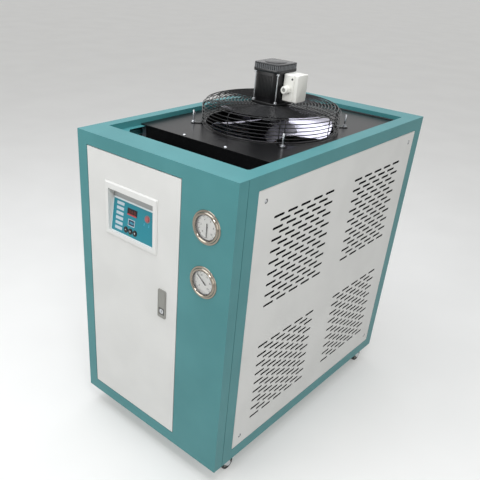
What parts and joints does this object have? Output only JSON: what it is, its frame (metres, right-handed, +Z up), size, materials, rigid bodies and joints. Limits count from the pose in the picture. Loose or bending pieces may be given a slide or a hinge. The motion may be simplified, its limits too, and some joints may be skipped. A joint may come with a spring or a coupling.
{
  "type": "recirculating chiller",
  "caption": "Upright sheet-steel water chiller on casters: slotted side panels, a door with a sloped controller, dial gauges and a guarded fan on a sunken deck.",
  "frame": {"origin": "on the floor, under the centre of the overall box", "axes": "+X to the right seen from the front, +Y from the door to the rear, +Z up"},
  "size_m": [0.608, 1.045, 1.2055],
  "materials": {
    "teal_powder_coat": "satin powder coat, blue-green",
    "white_powder_coat": "satin powder coat, off-white",
    "black_enamel": "gloss black enamel",
    "black_plastic": "moulded",
    "grey_plastic": "moulded, fine grain",
    "white_plastic": "moulded",
    "overlay_film": "printed film, semi-gloss",
    "display_plastic": "smoked red",
    "red_plastic": "moulded",
    "galvanised_sheet": "zinc spangle",
    "zinc_steel": "bright zinc plate",
    "gauge_steel": "stainless, spun",
    "dial_enamel": "matt white",
    "gauge_glass": "clear",
    "pointer_black": "matt",
    "aluminium_fins": "bright fins in end plates",
    "copper_tube": "drawn copper",
    "brass": "turned",
    "foam_insulation": "closed-cell foam",
    "seal_rubber": "sponge",
    "wheel_rubber": "hard rubber",
    "motor_enamel": "gloss black enamel"
  },
  "bodies": {
    "cabinet": {"base_pan": "teal_powder_coat", "front_fascia": "teal_powder_coat", "left_frame": "teal_powder_coat", "right_frame": "teal_powder_coat", "top_frame": "teal_powder_coat", "right_panel": "white_powder_coat", "left_panel": "white_powder_coat", "rear_panel": "white_powder_coat", "partition_wall": "galvanised_sheet", "door_gasket": "seal_rubber", "hinge_pins": "zinc_steel", "gauge_cases": "gauge_steel", "gauge_dials": "dial_enamel", "gauge_lenses": "gauge_glass", "fan_deck": "black_enamel", "fan_guard": "black_enamel", "guard_studs": "zinc_steel", "fan_motor": "motor_enamel", "motor_cap": "motor_enamel", "tie_rods": "zinc_steel", "terminal_box": "white_plastic", "terminal_gland": "black_plastic", "right_condenser": "aluminium_fins", "left_condenser": "aluminium_fins", "compressor": "black_enamel", "water_tank": "foam_insulation", "water_pump": "motor_enamel", "refrigerant_line": "copper_tube", "contactors": "black_plastic", "water_nipples": "brass", "drain_valve": "brass", "power_gland": "black_plastic", "caster_plates": "zinc_steel"},
    "door": {"door": "white_powder_coat", "control_bezel": "grey_plastic", "controller_case": "black_plastic", "control_overlay": "overlay_film", "display_window": "display_plastic", "latch_housing": "grey_plastic"},
    "down_key": {"key_down": "black_plastic"},
    "set_key": {"key_set": "black_plastic"},
    "up_key": {"key_up": "black_plastic"},
    "power_button": {"power_key": "red_plastic"},
    "latch_handle": {"latch_handle": "grey_plastic"},
    "door_lock": {"lock_cylinder": "zinc_steel", "lock_cam": "zinc_steel"},
    "lower_pointer": {"lower_pointer": "pointer_black"},
    "upper_pointer": {"upper_pointer": "pointer_black"},
    "fan": {"fan_impeller": "black_enamel", "fan_shaft": "zinc_steel"},
    "drain_lever": {"drain_lever": "red_plastic"},
    "fork_front_left": {"caster_fork_front_left": "zinc_steel"},
    "wheel_front_left": {"caster_wheel_front_left": "wheel_rubber"},
    "fork_front_right": {"caster_fork_front_right": "zinc_steel"},
    "wheel_front_right": {"caster_wheel_front_right": "wheel_rubber"},
    "fork_rear_left": {"caster_fork_rear_left": "zinc_steel"},
    "wheel_rear_left": {"caster_wheel_rear_left": "wheel_rubber"},
    "fork_rear_right": {"caster_fork_rear_right": "zinc_steel"},
    "wheel_rear_right": {"caster_wheel_rear_right": "wheel_rubber"}
  },
  "joints": [
    {"name": "door_hinge", "type": "hinge", "parent": "cabinet", "child": "door", "pos_m": [-0.2516, -0.5095, 0.5525], "axis": [0, 0, -1], "range_deg": [0, 110]},
    {"name": "latch_pull", "type": "hinge", "parent": "door", "child": "latch_handle", "pos_m": [0.06, -0.517, 0.62945], "axis": [-1, 0, 0], "range_deg": [0, 40]},
    {"name": "lock_turn", "type": "hinge", "parent": "door", "child": "door_lock", "pos_m": [0.06, -0.5, 0.56205], "axis": [0, -1, 0], "range_deg": [0, 90]},
    {"name": "down_key_press", "type": "slide", "parent": "door", "child": "down_key", "axis": [0, 0.9893, -0.1461], "range_m": [0, 0.0008], "stiffness_N_per_m": 200},
    {"name": "set_key_press", "type": "slide", "parent": "door", "child": "set_key", "axis": [0, 0.9893, -0.1461], "range_m": [0, 0.0008], "stiffness_N_per_m": 200},
    {"name": "up_key_press", "type": "slide", "parent": "door", "child": "up_key", "axis": [0, 0.9893, -0.1461], "range_m": [0, 0.0008], "stiffness_N_per_m": 200},
    {"name": "power_key_press", "type": "slide", "parent": "door", "child": "power_button", "axis": [0, 0.9893, -0.1461], "range_m": [0, 0.0008], "stiffness_N_per_m": 200},
    {"name": "lower_gauge", "type": "hinge", "parent": "cabinet", "child": "lower_pointer", "pos_m": [0.2119, -0.52, 0.723], "axis": [0, 1, 0], "range_deg": [-83, 187]},
    {"name": "upper_gauge", "type": "hinge", "parent": "cabinet", "child": "upper_pointer", "pos_m": [0.2119, -0.52, 0.8826], "axis": [0, 1, 0], "range_deg": [0, 270]},
    {"name": "fan_spin", "type": "hinge", "parent": "cabinet", "child": "fan", "pos_m": [0, 0.0155, 1.05], "axis": [0, 0, 1], "continuous": true},
    {"name": "drain_turn", "type": "hinge", "parent": "cabinet", "child": "drain_lever", "pos_m": [0.2, 0.5025, 0.184], "axis": [0, 0, -1], "range_deg": [0, 90]},
    {"name": "swivel_front_left", "type": "hinge", "parent": "cabinet", "child": "fork_front_left", "pos_m": [-0.269, -0.442, 0.065], "axis": [0, 0, 1], "continuous": true},
    {"name": "roll_front_left", "type": "hinge", "parent": "fork_front_left", "child": "wheel_front_left", "pos_m": [-0.269, -0.412, 0.025], "axis": [1, 0, 0], "continuous": true},
    {"name": "swivel_front_right", "type": "hinge", "parent": "cabinet", "child": "fork_front_right", "pos_m": [0.269, -0.442, 0.065], "axis": [0, 0, 1], "continuous": true},
    {"name": "roll_front_right", "type": "hinge", "parent": "fork_front_right", "child": "wheel_front_right", "pos_m": [0.269, -0.412, 0.025], "axis": [1, 0, 0], "continuous": true},
    {"name": "swivel_rear_left", "type": "hinge", "parent": "cabinet", "child": "fork_rear_left", "pos_m": [-0.269, 0.413, 0.065], "axis": [0, 0, 1], "continuous": true},
    {"name": "roll_rear_left", "type": "hinge", "parent": "fork_rear_left", "child": "wheel_rear_left", "pos_m": [-0.269, 0.443, 0.025], "axis": [1, 0, 0], "continuous": true},
    {"name": "swivel_rear_right", "type": "hinge", "parent": "cabinet", "child": "fork_rear_right", "pos_m": [0.269, 0.413, 0.065], "axis": [0, 0, 1], "continuous": true},
    {"name": "roll_rear_right", "type": "hinge", "parent": "fork_rear_right", "child": "wheel_rear_right", "pos_m": [0.269, 0.443, 0.025], "axis": [1, 0, 0], "continuous": true}
  ]
}
